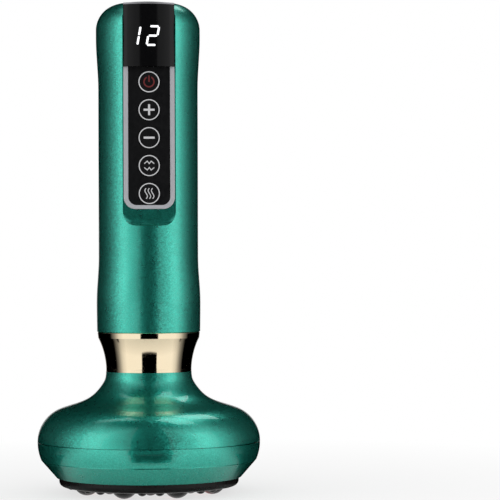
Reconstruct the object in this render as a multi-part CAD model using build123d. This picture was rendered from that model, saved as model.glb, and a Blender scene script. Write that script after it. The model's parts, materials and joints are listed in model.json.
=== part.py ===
from build123d import *
import os
from math import asin, atan2, cos, degrees, radians, sin, sqrt

# Handheld electric cupping massager, standing on the domes of its pad.
# Millimetres. Z is up, the key panel faces -Y, and the floor is z = 0.

# Heights that stack up from the floor
large_dome_height = 3.1
pad_lip_height = 3.9
cone_height = 7.55
girth_height = 8.0
bell_height = 30.45
collar_height = 17.5
handle_length = 143.45

# Outer radii
pad_radius = 39.3
pad_gap = 0.3
cone_foot_land = 0.9
crease_inset = 1.6
crease_groove_depth = 0.6
crease_groove_height = 0.35
bell_radius = 48.7
shoulder_radius = 15.3
shoulder_turn = 69.5
flare_shares = [(0.432, 0.5455), (0.199, 0.6585), (0.045, 0.834)]
neck_radius = 18.75
handle_radius = 21.8
foot_flare = 0.8
bulge_flare = 0.95
crown_flare = 1.0
crown_round = 11.4

# Handle: heights of its waist and flares, from its two ends
bulge_rise = 12.75
waist_rise = 32.75
crown_flare_drop = 37.7
crown_full_drop = 14.7

# Walls, seams and fits
handle_wall = 2.0
bell_wall = 2.2
bell_wall_end_share = 0.9
seam_gap = 0.3
shell_seam = 0.12
lip_thickness = 0.7
lip_reach = 1.6
fit_gap = 0.05
slip_gap = 0.1
loose_gap = 0.2
overrun = 5.0
edge_round = 0.3
fine_round = 0.15

# Levels
pad_face_z = large_dome_height
ring_foot_z = pad_face_z + pad_lip_height
crease_z = ring_foot_z + cone_height
seam_z = crease_z + girth_height
bell_top_z = seam_z + bell_height
handle_foot_z = bell_top_z + collar_height
top_z = handle_foot_z + handle_length

# Key panel, display and keys
panel_half_width = 11.0
slot_gap = 0.45
bezel_thickness = 2.3
bezel_proud = 0.3
bezel_rim = 1.95
bezel_foot_rim = 1.65
bezel_corner = 5.1
bezel_cap = 0.85
bezel_top_drop = 1.4
bezel_floor = 0.6
window_corner = 3.6
key_plate_thickness = 1.4
key_plate_proud = 0.1
lens_height = 26.75
lens_wall = 1.4
lens_skirt = 1.35
lens_bulge = 0.2
lens_wing_height = 6.5
key_count = 5
key_radius = 4.75
key_spacing = 2.53
first_key_land = 1.75
last_key_land = 0.25
key_gap = 0.15
key_proud = 0.25
key_travel = 0.5
key_flange = 0.6
key_flange_reach = 0.6
key_ear_share = 0.716
key_stem_radius = 1.5
key_stem_length = 1.5
legend_height = 0.12
ring_inset = 0.22
ring_line = 0.42
slot_reach = 7.3
slot_corner = 8.0
slot_sweep = 3.4
bay_half_width = 13.2
bay_floor = 1.8
bay_window_room = 1.05
display_half_width = 7.6
display_height = 14.2
display_depth = 5.6
digit_height = 8.9
digit_width = 4.0
digit_drop = 0.27
digit_lean = 10.0
digit_stroke = 0.88
digit_stroke_gap = 0.63
digit_one_x = -4.3
digit_two_x = 1.66
digit_depth = 1.2

# Marks on the keys
power_radius = 2.15
power_line = 0.62
power_gap = 1.95
power_bar = 2.8
power_bar_top = 2.75
bar_length = 4.72
bar_line = 0.88
zigzag_width = 4.3
zigzag_peak_share = 0.39
zigzag_height = 1.1
zigzag_lift = 0.83
zigzag_line = 0.38
wave_height = 4.5
wave_sway = 0.45
wave_spacing = 1.4
wave_line = 0.38
wave_shares = [(1, 0), (0.43, -1), (-0.3, 1), (-1, 0)]

# Control board behind the keys
board_gap = 2.4
board_thickness = 1.6
board_end_margin = 2.4
switch_side = 6.0
switch_body = 1.5
switch_plunger_radius = 1.7
chip_height = 1.0
chip_place_shares = [(-0.3, -0.28), (0.3, -0.14), (-0.2, 0.04), (0.3, 0.22)]
chip_size_shares = [(0.5, 0.4), (0.4, 0.5), (0.7, 0.7), (0.4, 0.3)]
post_radius = 1.4
small_screw_radius = 0.7
small_screw_bore = 0.75
small_head_radius = 1.4
small_head_height = 0.9

# Battery and its tray
battery_radius = 9.2
battery_length = 65.0
battery_cap_radius = 3.2
battery_cap_height = 0.8
battery_back = 3.6
tray_wall = 1.6
tray_end_gap = 1.2

# Charging inlet in the crown
inlet_width = 8.94
inlet_depth = 3.26
inlet_length = 7.35
inlet_wall = 0.3
inlet_back = 5.0
inlet_sink = 0.4
inlet_clearance = 0.2
tongue_width = 6.69
tongue_thickness = 0.7
tongue_length = 5.4
charge_board_half_width = 7.0
charge_board_drop = 20.0
charge_post_radius = 2.2
charge_post_spacing = 8.6
charge_post_rise = 4.0

# Collar
collar_band = 2.66
collar_rim_inset = 0.2
collar_edge_inset = 0.5
collar_waist_inset = 0.05
collar_waist_rise = 1.6
collar_sag = 0.7
collar_gap = 0.05

# Neck tube, which ties the handle, collar and bell together
neck_shell_wall = 3.25
neck_tube_wall = 1.6
neck_flange = 2.2
bell_ledge_drop = 7.2
neck_foot_reach = 3.0
foot_floor = 2.2
catch_rib = 1.5
catch_rib_reach = 1.4
neck_screw_radius = 0.9
neck_screw_length = 7.0
neck_screw_head = 1.6
neck_screw_count = 3

# Vacuum pump
pump_rise = 3.0
pump_head_height = 6.0
valve_plate_thickness = 1.5
diaphragm_sheet = 1.0
crankcase_height = 17.5
crankcase_wall = 1.6
crankcase_roof = 1.5
sleeve_gap = 0.05
sleeve_wall = 0.7
cup_count = 3
cup_circle_share = 0.508
cup_radius_share = 0.254
cup_height = 4.0
cup_stem_radius = 1.1
cup_stem_height = 1.6
wobble_tilt = 6.0
wobble_rise = 8.2
wobble_thickness = 1.5
wobble_hub_radius = 3.0
wobble_hub_height = 2.6
wobble_arm_width = 3.6
crank_share = 0.415
crank_height = 4.0
crank_drop = 1.6
crank_pin_radius = 0.75
crank_pin_share = 0.45
nozzle_radius = 1.9
nozzle_bore = 1.1
nozzle_length = 5.5
nozzle_share = 0.615
motor_radius = 12.0
motor_length = 30.0
motor_can_wall = 1.0
motor_cap_height = 3.0
shaft_radius = 1.0
bush_radius = 3.0
bush_length = 2.0
magnet_thickness = 2.6
magnet_length = 20.0
core_radius = 7.8
core_length = 14.0
core_slots = 5
core_slot_width = 1.6
core_slot_depth = 3.6
commutator_radius = 2.6
commutator_length = 4.0
terminal_width = 2.2
terminal_thickness = 0.5
terminal_height = 2.6
terminal_circle = 7.2
pump_screw_circle = 10.6

# Massage pad
pad_thickness = 3.0
pad_lip_round = 2.3
pad_groove_inset = 2.6
pad_groove_width = 0.5
pad_groove_depth = 0.25
pad_rim_wall = 2.0
cup_bore = 19.7
mouth_round = 0.4
dome_ring_count = 8
large_dome_circle = 29.3
large_dome_radius = 5.2
medium_dome_land = 1.5
medium_dome_radius = 3.3
medium_dome_height = 2.1
small_dome_circle = 34.0
small_dome_radius = 2.15
small_dome_height = 1.4
small_dome_spread = 6.25
moat_width = 0.4
moat_depth = 0.25

# Inside the head
web_rise = 4.0
web_thickness = 2.0
ring_lip_height = 2.7
ring_lip_wall = 1.35
ring_lip_gap = 0.45
ring_wall = 1.85
boss_circle = 34.0
boss_radius = 3.0
boss_count = 4
head_screw_radius = 1.3
head_screw_bore = 1.35
head_screw_hole = 1.5
head_screw_head = 2.6
head_screw_head_height = 1.8
head_screw_length = 13.0
head_screw_room = 1.0
liner_wall = 1.9
liner_flange = 4.2
liner_flange_thickness = 1.6
liner_roof_rise = 11.5
liner_roof = 2.0
liner_step = 1.5
liner_screw_reach = 2.2
gasket_thickness = 0.8
filter_rise = 10.4
filter_thickness = 3.5
grille_thickness = 1.5
grille_hole_radius = 1.5
grille_circle_shares = [0.28, 0.56, 0.79]
grille_hole_counts = [6, 12, 16]
led_circle_share = 0.4375
led_turn = -6.0
led_radius = 1.5
led_length = 2.6
led_board_clear = 1.4
led_board_thickness = 1.2
heater_inner_radius = 31.0
heater_thickness = 0.2
hose_wall = 1.1
hose_gap = 0.05

# Air release valve
valve_x = -9.0
valve_width = 10.0
valve_depth = 9.0
valve_base = 2.0
valve_frame_height = 12.0
valve_frame_wall = 1.0
valve_seat_radius = 1.6
valve_seat_height = 0.6
valve_port_radius = 0.8
plunger_radius = 1.9
plunger_length = 8.2
coil_radius = 3.8
coil_cheek = 0.8
spring_radius = 1.4
spring_wall = 0.35

# Sizes that follow from those above
crown_radius = handle_radius + crown_flare
slot_half_width = panel_half_width + slot_gap
flat_y = -sqrt(handle_radius**2 - slot_half_width**2)
bezel_back_y = flat_y + bezel_thickness - bezel_proud
bezel_front_y = flat_y - bezel_proud
key_plate_front_y = flat_y - key_plate_proud
key_plate_back_y = key_plate_front_y + key_plate_thickness
key_front_y = key_plate_front_y - key_proud
flange_front_y = key_plate_back_y + fit_gap
flange_back_y = flange_front_y + key_flange
stem_tip_y = flange_back_y + key_stem_length
bay_back_y = bezel_back_y + bay_floor
board_front_y = bay_back_y + board_gap
board_back_y = board_front_y + board_thickness
lens_radius = handle_radius + lens_bulge
lens_back_y = bezel_back_y - bezel_floor - fit_gap
bezel_top_z = top_z - bezel_top_drop
lens_top_z = bezel_top_z - bezel_cap
lens_foot_z = lens_top_z - lens_height
key_pitch = 2 * key_radius + key_spacing
key_zs = [lens_foot_z - first_key_land - key_radius - key_pitch * i for i in range(key_count)]
window_foot_z = key_zs[-1] - key_radius - last_key_land
ring_outer_radius = key_radius - ring_inset
bay_window_half_width = key_radius + key_flange_reach + bay_window_room
post_side = bay_window_half_width + post_radius + fit_gap
board_half_width = post_side + post_radius + fit_gap
bezel_foot_z = window_foot_z - bezel_foot_rim
slot_tip_z = bezel_foot_z - slot_reach
digit_z = (lens_foot_z + lens_top_z) / 2 - digit_drop
lens_wing_z = lens_top_z - lens_wing_height
board_foot_z = window_foot_z - board_end_margin
board_top_z = lens_top_z - board_end_margin
neck_outer = neck_radius - neck_shell_wall - slip_gap
neck_bore = neck_outer - neck_tube_wall
neck_head_radius = handle_radius - handle_wall - 2 * loose_gap
collar_waist_radius = neck_radius - collar_waist_inset
pump_radius = neck_bore - sleeve_wall - 2 * sleeve_gap
cup_circle = cup_circle_share * pump_radius
cup_radius = cup_radius_share * pump_radius
nozzle_x = nozzle_share * pump_radius
crank_radius = crank_share * pump_radius
bell_ledge_z = bell_top_z - bell_ledge_drop
pump_foot_z = bell_top_z - pump_rise
valve_plate_z = pump_foot_z + pump_head_height
diaphragm_z = valve_plate_z + valve_plate_thickness
crankcase_z = diaphragm_z + diaphragm_sheet
motor_z = crankcase_z + crankcase_height
wobble_z = crankcase_z + wobble_rise
motor_top_z = motor_z + motor_length
battery_z = motor_top_z + motor_cap_height + tray_end_gap + tray_wall
battery_y = board_back_y + battery_back + battery_radius
pad_back_z = pad_face_z + pad_thickness
web_z = ring_foot_z + web_rise
web_top_z = web_z + web_thickness
liner_radius = cup_bore + liner_wall
liner_screw_circle = liner_radius + liner_screw_reach
led_board_inner = liner_radius + 2 * loose_gap
led_board_outer = boss_circle - head_screw_head - led_board_clear
led_circle = led_board_inner + led_circle_share * (led_board_outer - led_board_inner)
medium_dome_circle = cup_bore + medium_dome_land + medium_dome_radius
liner_roof_z = web_top_z + liner_roof_rise
liner_top_z = liner_roof_z + liner_roof
filter_z = pad_back_z + filter_rise
grille_z = filter_z + filter_thickness

BOTTOM = (Align.CENTER, Align.CENTER, Align.MIN)
nodes = {}


def turned(*edges):
    """Solid of revolution about Z, from a closed outline drawn as (radius, height)."""
    return revolve(Plane.XZ * make_face(list(edges)), Axis.Z)


def turned_outline(points):
    """Solid of revolution whose outline is straight lines through the points."""
    corners = list(points) + [points[0]]
    return turned(*[Line(a, b) for a, b in zip(corners, corners[1:])])


def rod(radius, low, high, x=0, y=0):
    """Upright cylinder between two heights."""
    return Pos(x, y, low) * Cylinder(radius, high - low, align=BOTTOM)


def tube(outer, inner, low, high, x=0, y=0):
    """Upright tube between two heights."""
    return rod(outer, low, high, x, y) - rod(inner, low - overrun, high + overrun, x, y)


def block(x0, x1, y0, y1, z0, z1):
    """Box between two corners."""
    return Pos((x0 + x1) / 2, (y0 + y1) / 2, (z0 + z1) / 2) * Box(x1 - x0, y1 - y0, z1 - z0)


def spin(shape, turn):
    """The shape turned about Z."""
    return Rot(0, 0, turn) * shape


def ring_of(count, shape, start=0):
    """Copies of a shape evenly spaced about Z."""
    return [spin(shape, start + 360 / count * i) for i in range(count)]


def front_plane(y, z):
    """Plane on the panel, facing the user, with its own y pointing up."""
    return Plane(origin=(0, y, z), x_dir=(1, 0, 0), z_dir=(0, -1, 0))


def rounded_panel(half_width, low, high, foot_corner, head_corner):
    """Sketch of an upright panel with its own pair of corner radii at each end."""
    middle = (low + high) / 2
    outline = Pos(0, middle) * Rectangle(2 * half_width, high - low)
    corners = outline.vertices()
    outline = fillet(corners.filter_by(lambda v: v.Y < middle), foot_corner)
    corners = outline.vertices().filter_by(lambda v: abs(v.Y - high) < fit_gap)
    return fillet(corners, head_corner)


def front_slab(sketch, front, back):
    """The panel sketch, drawn at true height, between two depths."""
    return extrude(front_plane(front, 0) * sketch, amount=front - back)


def screw(head_radius, head_height, shank_radius, length):
    """Screw with its head's bearing face at z = 0 and its shank pointing up."""
    head = Pos(0, 0, -head_height) * Cylinder(head_radius, head_height, align=BOTTOM)
    head = fillet(head.edges().group_by(Axis.Z)[0], head_height / 3)
    recess = Pos(0, 0, -head_height) * Box(head_radius, head_radius / 4, head_height)
    cross = Rot(0, 0, 90) * recess
    return head + Cylinder(shank_radius, length, align=BOTTOM) - recess - cross


def handle_form(inset):
    """The handle's outer form, or the same form drawn in by a wall."""
    foot = handle_radius + foot_flare - inset
    bulge = handle_radius + bulge_flare - inset
    waist = handle_radius - inset
    crown = crown_radius - inset
    corner = crown_round - inset
    roof = top_z - inset
    bulge_z = handle_foot_z + bulge_rise
    waist_z = handle_foot_z + waist_rise
    flare_z = top_z - crown_flare_drop
    full_z = top_z - crown_full_drop
    shoulder = (crown - corner, roof - corner)
    foot_run = (bulge_flare - foot_flare, bulge_rise)
    return turned(
        Line((0, handle_foot_z), (foot, handle_foot_z)),
        Spline((foot, handle_foot_z), (bulge, bulge_z), tangents=(foot_run, (0, 1))),
        Spline((bulge, bulge_z), (waist, waist_z), tangents=((0, 1), (0, 1))),
        Line((waist, waist_z), (waist, flare_z)),
        Spline((waist, flare_z), (crown, full_z), tangents=((0, 1), (0, 1))),
        Line((crown, full_z), (crown, roof - corner)),
        CenterArc(shoulder, corner, 0, 90),
        Line((shoulder[0], roof), (0, roof)),
        Line((0, roof), (0, handle_foot_z)),
    )


def front_slot():
    """The shallow flat cut for the panel, open at the crown, with a foot that sweeps up all round."""
    high = top_z + overrun
    across = slot_half_width + slot_sweep
    middle = (slot_tip_z + high) / 2
    outline = Pos(0, middle) * Rectangle(2 * across, high - slot_tip_z)
    outline = fillet(outline.vertices().filter_by(lambda v: v.Y < middle), slot_corner)
    tool = front_slab(outline, -2 * handle_radius, flat_y)
    rim = tool.faces().sort_by(Axis.Y)[-1].edges().filter_by(lambda e: e.center().Z < top_z)
    tool = fillet(rim, slot_sweep)
    across = slot_half_width
    return tool & block(-across, across, -2 * handle_radius, flat_y, slot_tip_z, high)


def bezel_outline(grow):
    """Sketch of the bezel's outline, grown all round by a clearance."""
    return rounded_panel(
        panel_half_width + grow, bezel_foot_z - grow, bezel_top_z + grow,
        bezel_corner + grow, edge_round + grow,
    )


def bay_windows():
    """Openings in the bay floor for the key stems and for the display module."""
    keys = block(
        -bay_window_half_width, bay_window_half_width, bezel_back_y - overrun, bay_back_y + overrun,
        key_zs[-1] - bay_window_half_width, key_zs[0] + bay_window_half_width,
    )
    half = display_half_width + loose_gap
    middle = (lens_foot_z + lens_top_z) / 2
    reach = display_height / 2 + loose_gap
    display = block(-half, half, bezel_back_y - overrun, bay_back_y + overrun, middle - reach, middle + reach)
    return keys + display


def board_post_places():
    """Places of the control board's posts, as (x, z)."""
    rows = [key_zs[-1] - key_pitch / 2, key_zs[key_count // 2], key_zs[0] + key_pitch / 2]
    crown_row = board_top_z - post_radius - loose_gap
    places = [(sign * post_side, z) for z in rows for sign in (-1, 1)]
    return places + [(0, crown_row)]


def handle_front_shell():
    """Front half of the handle, with the panel's bay and the control board's posts."""
    outer = handle_form(0)
    inner = handle_form(handle_wall)
    front = block(
        -2 * handle_radius, 2 * handle_radius, -2 * handle_radius, -shell_seam / 2,
        handle_foot_z, top_z,
    )
    bay = block(
        -bay_half_width, bay_half_width, -2 * handle_radius, bay_back_y,
        slot_tip_z - handle_wall, top_z,
    ) & outer
    floor = tube(handle_radius, neck_outer + slip_gap, handle_foot_z, handle_foot_z + foot_floor)
    shell = (outer - inner) & front
    shell = shell + (bay & front) + ((floor + catch_rib_ring()) & front)
    pocket = front_slab(bezel_outline(slip_gap), bezel_front_y - 2 * overrun, bezel_back_y)
    shell = shell - front_slot() - pocket - bay_windows()
    posts = []
    bores = []
    for x, z in board_post_places():
        turn = Pos(x, bay_back_y, z) * Rot(-90, 0, 0)
        posts.append(turn * Cylinder(post_radius, board_gap, align=BOTTOM))
        bores.append(turn * Pos(0, 0, board_gap) * Rot(180, 0, 0)
                     * Cylinder(small_screw_bore, board_gap + bay_floor / 2, align=BOTTOM))
    lip_outer = handle_form(handle_wall + slip_gap)
    lip_root = handle_form(handle_wall - slip_gap)
    lip_inner = handle_form(handle_wall + slip_gap + lip_thickness)
    side = handle_radius / 2
    low = handle_foot_z + neck_lock_height() + handle_wall
    high = top_z - crown_full_drop
    across = 2 * handle_radius
    band = block(-across, -side, -lip_reach, lip_reach, low, high)
    band = band + block(side, across, -lip_reach, lip_reach, low, high)
    root = band & block(-across, across, -lip_reach, -shell_seam / 2, low, high)
    lip = ((lip_outer - lip_inner) & band) + ((lip_root - lip_inner) & root)
    return shell + posts + lip - bores


def neck_lock_height():
    """Height from the handle's foot to the top of the rib that holds the neck flange."""
    return foot_floor + neck_flange + 2 * slip_gap + catch_rib


def catch_rib_ring():
    """Ring inside the handle's foot that holds down the neck tube's upper flange."""
    low = handle_foot_z + neck_lock_height() - catch_rib
    return tube(handle_radius, neck_outer + catch_rib_reach, low, low + catch_rib)


def handle_rear_shell():
    """Rear half of the handle, with the charging board's posts and the inlet's opening."""
    outer = handle_form(0)
    inner = handle_form(handle_wall)
    rear = block(
        -2 * handle_radius, 2 * handle_radius, shell_seam / 2, 2 * handle_radius,
        handle_foot_z, top_z,
    )
    floor = tube(handle_radius, neck_outer + slip_gap, handle_foot_z, handle_foot_z + foot_floor)
    shell = ((outer - inner) & rear) + ((floor + catch_rib_ring()) & rear)
    posts = []
    bores = []
    for x, z in charge_post_places():
        turn = Pos(x, charge_board_back_y(), z) * Rot(-90, 0, 0)
        posts.append((turn * Cylinder(charge_post_radius, 2 * handle_radius, align=BOTTOM)) & outer)
        bores.append(turn * Cylinder(small_screw_bore, 2 * board_gap, align=BOTTOM))
    mouth = RectangleRounded(
        inlet_width + 2 * inlet_clearance, inlet_depth + 2 * inlet_clearance,
        inlet_depth / 2,
    )
    mouth = Pos(0, inlet_back, top_z - 2 * handle_wall) * extrude(mouth, amount=3 * handle_wall)
    return shell + posts - bores - mouth


def charge_board_front_y():
    """Front face of the charging board, on the back of the inlet."""
    return inlet_back + inlet_depth / 2


def charge_board_back_y():
    """Rear face of the charging board, on its posts."""
    return charge_board_front_y() + board_thickness


def charge_post_places():
    """Places of the charging board's posts, as (x, z)."""
    z = top_z - handle_wall - charge_board_drop + charge_post_rise
    return [(-charge_post_spacing / 2, z), (charge_post_spacing / 2, z)]


def panel_bezel():
    """Silver tray: a rim round the key plate, a floor and a cap for the lens, a saddle on the crown."""
    tray = front_slab(bezel_outline(0), bezel_front_y, bezel_back_y)
    rim = tray.faces().sort_by(Axis.Y)[0].edges()
    tray = chamfer(rim, fine_round)
    under_lens = block(
        -2 * handle_radius, 2 * handle_radius, -2 * handle_radius, bezel_back_y - bezel_floor,
        lens_foot_z + lens_skirt, lens_top_z,
    )
    cap = front_slab(
        rounded_panel(panel_half_width, lens_top_z, bezel_top_z, fit_gap, edge_round),
        -2 * handle_radius, bezel_back_y - bezel_floor,
    ) & rod(lens_radius, lens_top_z, bezel_top_z)
    half = panel_half_width - bezel_rim
    window = rounded_panel(half, window_foot_z, lens_foot_z + lens_skirt, window_corner, fit_gap)
    window = front_slab(window, bezel_front_y - overrun, key_plate_back_y)
    ledge = bezel_rim / 2
    back = rounded_panel(half - ledge, window_foot_z, lens_foot_z, window_corner, edge_round)
    back = front_slab(back, bezel_front_y - overrun, bezel_back_y + overrun)
    reach = display_height / 2 + loose_gap
    middle = (lens_foot_z + lens_top_z) / 2
    view = display_half_width + loose_gap
    display = block(-view, view, -2 * handle_radius, bezel_back_y + overrun, middle - reach, middle + reach)
    across = panel_half_width
    saddle = block(
        -across, across, bezel_back_y - bezel_floor, -crown_round, lens_top_z, bezel_top_z
    ) - handle_form(-fit_gap)
    return tray - under_lens + cap + saddle - window - back - display - lens_wing_space(fit_gap)


def key_plate():
    """Black plate inside the bezel, with a round hole for each key."""
    half = panel_half_width - bezel_rim - fit_gap
    plate = rounded_panel(
        half, window_foot_z + fit_gap, lens_foot_z + lens_skirt - fit_gap, window_corner, fit_gap
    )
    plate = front_slab(plate, key_plate_front_y, key_plate_back_y)
    bore = key_radius + key_gap
    return plate - [front_slab(Pos(0, z) * Circle(bore), flat_y - overrun, flat_y + overrun) for z in key_zs]


def digit_strokes():
    """The lit strokes of the display, a one and a two, as sketches about the display's centre."""
    half = digit_height / 2
    gap = digit_stroke_gap
    lean = sin(radians(digit_lean)) / cos(radians(digit_lean))

    def stroke(x0, y0, x1, y1):
        a = (x0 + lean * y0, y0)
        b = (x1 + lean * y1, y1)
        length = sqrt((b[0] - a[0])**2 + (b[1] - a[1])**2)
        turn = degrees(atan2(b[1] - a[1], b[0] - a[0]))
        bar = SlotCenterToCenter(length, digit_stroke)
        return Pos((a[0] + b[0]) / 2, (a[1] + b[1]) / 2) * Rot(0, 0, turn) * bar

    top = half - digit_stroke / 2
    near = digit_one_x
    left = digit_two_x - digit_width / 2
    right = digit_two_x + digit_width / 2
    return [
        stroke(near, gap, near, top - gap),
        stroke(near, -gap, near, -top + gap),
        stroke(left + gap, top, right - gap, top),
        stroke(right, gap, right, top - gap),
        stroke(left + gap, 0, right - gap, 0),
        stroke(left, -gap, left, -top + gap),
        stroke(left + gap, -top, right - gap, -top),
    ]


def digit_tools():
    """The strokes carried back through the front of the lens."""
    return [
        extrude(front_plane(-lens_radius - overrun, digit_z) * s, amount=-(overrun + 2 * digit_depth))
        for s in digit_strokes()
    ]


def lens_form(radius, half_width, low, high):
    """Strip of a cylinder that follows the handle's own roundness."""
    return rod(radius, low, high) & block(-half_width, half_width, -2 * radius, lens_back_y, low, high)


def lens_wing_space(grow):
    """Places of the lens's two side skirts where they reach back over the crown's rounding."""
    inner = panel_half_width - lens_skirt - grow
    outer = panel_half_width + grow
    low = lens_wing_z - grow
    left = block(-outer, -inner, lens_back_y - bezel_floor, -crown_round, low, lens_top_z)
    return left + mirror(left, Plane.YZ)


def display_lens():
    """Black lens, a curved cap over the display module, with its lit strokes let in."""
    lens = lens_form(lens_radius, panel_half_width, lens_foot_z, lens_top_z)
    lens = fillet(lens.edges().filter_by(Axis.Z).sort_by(Axis.Y)[:2], edge_round)
    hollow = lens_form(
        lens_radius - lens_wall, panel_half_width - lens_skirt, lens_foot_z + lens_skirt,
        lens_top_z - lens_skirt,
    )
    foot_bar = block(
        -2 * panel_half_width, 2 * panel_half_width, bezel_front_y - fit_gap, 0,
        lens_foot_z - overrun, lens_foot_z + lens_skirt,
    )
    in_pocket = block(
        -panel_half_width, panel_half_width, lens_back_y - bezel_floor, bezel_back_y - fit_gap,
        lens_wing_z, lens_top_z,
    )
    wings = lens_wing_space(0)
    wings = (wings & in_pocket) + (wings - handle_form(-fit_gap))
    return lens - hollow - foot_bar + wings - digit_tools()


def display_digits():
    """Light windows of the lit strokes, flush with the lens."""
    skin = tube(lens_radius, lens_radius - digit_depth, lens_foot_z, lens_top_z)
    pieces = [tool & skin for tool in digit_tools()]
    return Compound(children=[piece.solids()[0] for piece in pieces])


def key_cap(z):
    """Round key with two retaining ears and a stem that reaches for its switch."""
    cap = front_slab(Circle(key_radius), key_front_y, flange_front_y)
    cap = fillet(cap.edges().sort_by(Axis.Y)[0], fine_round)
    reach = key_radius + key_flange_reach
    ears = Circle(reach) & Rectangle(2 * reach, 2 * key_ear_share * key_radius)
    flange = front_slab(ears, flange_front_y, flange_back_y)
    stem = front_slab(Circle(key_stem_radius), flange_back_y, stem_tip_y)
    return Pos(0, 0, z) * (cap + flange + stem)


def ring_mark():
    """The ring round every key's mark."""
    return Circle(ring_outer_radius) - Circle(ring_outer_radius - ring_line)


def power_mark():
    """Broken circle with an upright bar."""
    ring = Circle(power_radius + power_line / 2) - Circle(power_radius - power_line / 2)
    ring = ring - Pos(0, power_radius) * Rectangle(power_gap, power_gap)
    return [ring, Pos(0, power_bar_top - power_bar / 2) * Rectangle(power_line, power_bar)]


def bar_mark(upright):
    """Minus sign, or a plus sign if it has its upright bar."""
    bar = Rectangle(bar_length, bar_line)
    return [bar + Rectangle(bar_line, bar_length)] if upright else [bar]


def zigzag_mark():
    """Two small zigzags, one over the other and mirrored."""
    foot = zigzag_width / 2
    peak = zigzag_peak_share * foot
    rise = zigzag_height
    points = [(-foot, 0), (-peak, rise), (0, 0), (peak, rise), (foot, 0)]
    upper = trace(Polyline(*[(x, y + zigzag_lift) for x, y in points]), line_width=zigzag_line)
    lower = trace(Polyline(*[(x, -y - zigzag_lift) for x, y in points]), line_width=zigzag_line)
    return [upper, lower]


def warmth_mark():
    """Three upright wavy lines."""
    wave = [(wave_sway * sway, wave_height / 2 * rise) for rise, sway in wave_shares]
    return [
        trace(Spline(*[(x + shift, y) for x, y in wave]), line_width=wave_line)
        for shift in (-wave_spacing, 0, wave_spacing)
    ]


def key_legend(marks, z):
    """Raised ring and mark on a key's face."""
    face = front_plane(key_front_y, z)
    solids = [extrude(face * mark, amount=legend_height).solids()[0] for mark in [ring_mark()] + marks]
    return Compound(children=solids)


def control_board():
    """Board behind the panel, with holes for its screws."""
    board = block(-board_half_width, board_half_width, board_front_y, board_back_y, board_foot_z, board_top_z)
    board = fillet(board.edges().filter_by(Axis.Y), edge_round)
    holes = [
        Pos(x, board_front_y - overrun, z) * Rot(-90, 0, 0)
        * Cylinder(small_screw_bore, 2 * overrun + board_thickness, align=BOTTOM)
        for x, z in board_post_places()
    ]
    return board - holes


def small_screws():
    """The small screws of both boards and of the motor's face."""
    one = screw(small_head_radius, small_head_height, small_screw_radius, board_thickness + board_gap)
    places = [Pos(x, board_back_y, z) * Rot(90, 0, 0) for x, z in board_post_places()]
    places += [Pos(x, charge_board_front_y(), z) * Rot(-90, 0, 0) for x, z in charge_post_places()]
    places += [Pos(side * pump_screw_circle / 2, 0, motor_z - crankcase_roof) for side in (-1, 1)]
    return Compound(children=[(place * one).solids()[0] for place in places])


def tact_switches():
    """A switch behind every key, its plunger just clear of the pressed stem."""
    half = switch_side / 2
    plunger_y = stem_tip_y + key_travel + fit_gap
    body_y = board_front_y - switch_body
    switches = []
    for z in key_zs:
        body = block(-half, half, body_y, board_front_y, z - half, z + half)
        body = chamfer(body.edges().filter_by(Axis.Y), edge_round)
        plunger = front_slab(Circle(switch_plunger_radius), plunger_y, body_y)
        switches.append((body + Pos(0, 0, z) * plunger).solids()[0])
    return Compound(children=switches)


def display_module():
    """Two-digit light module on the board, under the lens."""
    middle = (lens_foot_z + lens_top_z) / 2
    half = display_height / 2
    front = board_front_y - display_depth
    body = block(-display_half_width, display_half_width, front, board_front_y, middle - half, middle + half)
    return chamfer(body.faces().sort_by(Axis.Y)[0].edges(), edge_round)


def board_chips():
    """Controller and driver chips on the back of the board."""
    middle = (board_foot_z + board_top_z) / 2
    chips = []
    for (x_share, z_share), (w_share, h_share) in zip(chip_place_shares, chip_size_shares):
        x = x_share * board_half_width
        z = middle + z_share * (board_top_z - board_foot_z)
        w = w_share * board_half_width / 2
        h = h_share * board_half_width / 2
        chips.append(block(x - w, x + w, board_back_y, board_back_y + chip_height, z - h, z + h))
    return Compound(children=[chip.solids()[0] for chip in chips])


def battery_cell():
    """Rechargeable cell, standing in its tray."""
    cell = rod(battery_radius, battery_z, battery_z + battery_length, 0, battery_y)
    cell = fillet(cell.edges(), edge_round)
    cap_z = battery_z + battery_length
    return cell + rod(battery_cap_radius, cap_z, cap_z + battery_cap_height, 0, battery_y)


def battery_tray():
    """Half tray round the cell, with end walls and a foot against the rear shell."""
    low = battery_z - fit_gap - tray_wall
    high = battery_z + battery_length + battery_cap_height + fit_gap + tray_wall
    outer = battery_radius + slip_gap + tray_wall
    tray = rod(outer, low, high, 0, battery_y)
    tray = tray & block(-outer, outer, battery_y, battery_y + outer, low, high)
    tray = tray - rod(battery_radius + slip_gap, low + tray_wall, high - tray_wall, 0, battery_y)
    foot_half = battery_radius / 3
    foot = block(
        -foot_half, foot_half, battery_y + outer - tray_wall / 2, 2 * handle_radius, low, high
    ) & handle_form(handle_wall + fit_gap)
    return tray + foot


def charge_board():
    """Small charging board behind the inlet."""
    high = top_z - handle_wall - board_thickness
    low = top_z - handle_wall - charge_board_drop
    half = charge_board_half_width
    board = block(-half, half, charge_board_front_y(), charge_board_back_y(), low, high)
    holes = [
        Pos(x, 0, z) * Rot(-90, 0, 0) * Cylinder(small_screw_bore, 2 * handle_radius, align=BOTTOM)
        for x, z in charge_post_places()
    ]
    return board - holes


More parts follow.
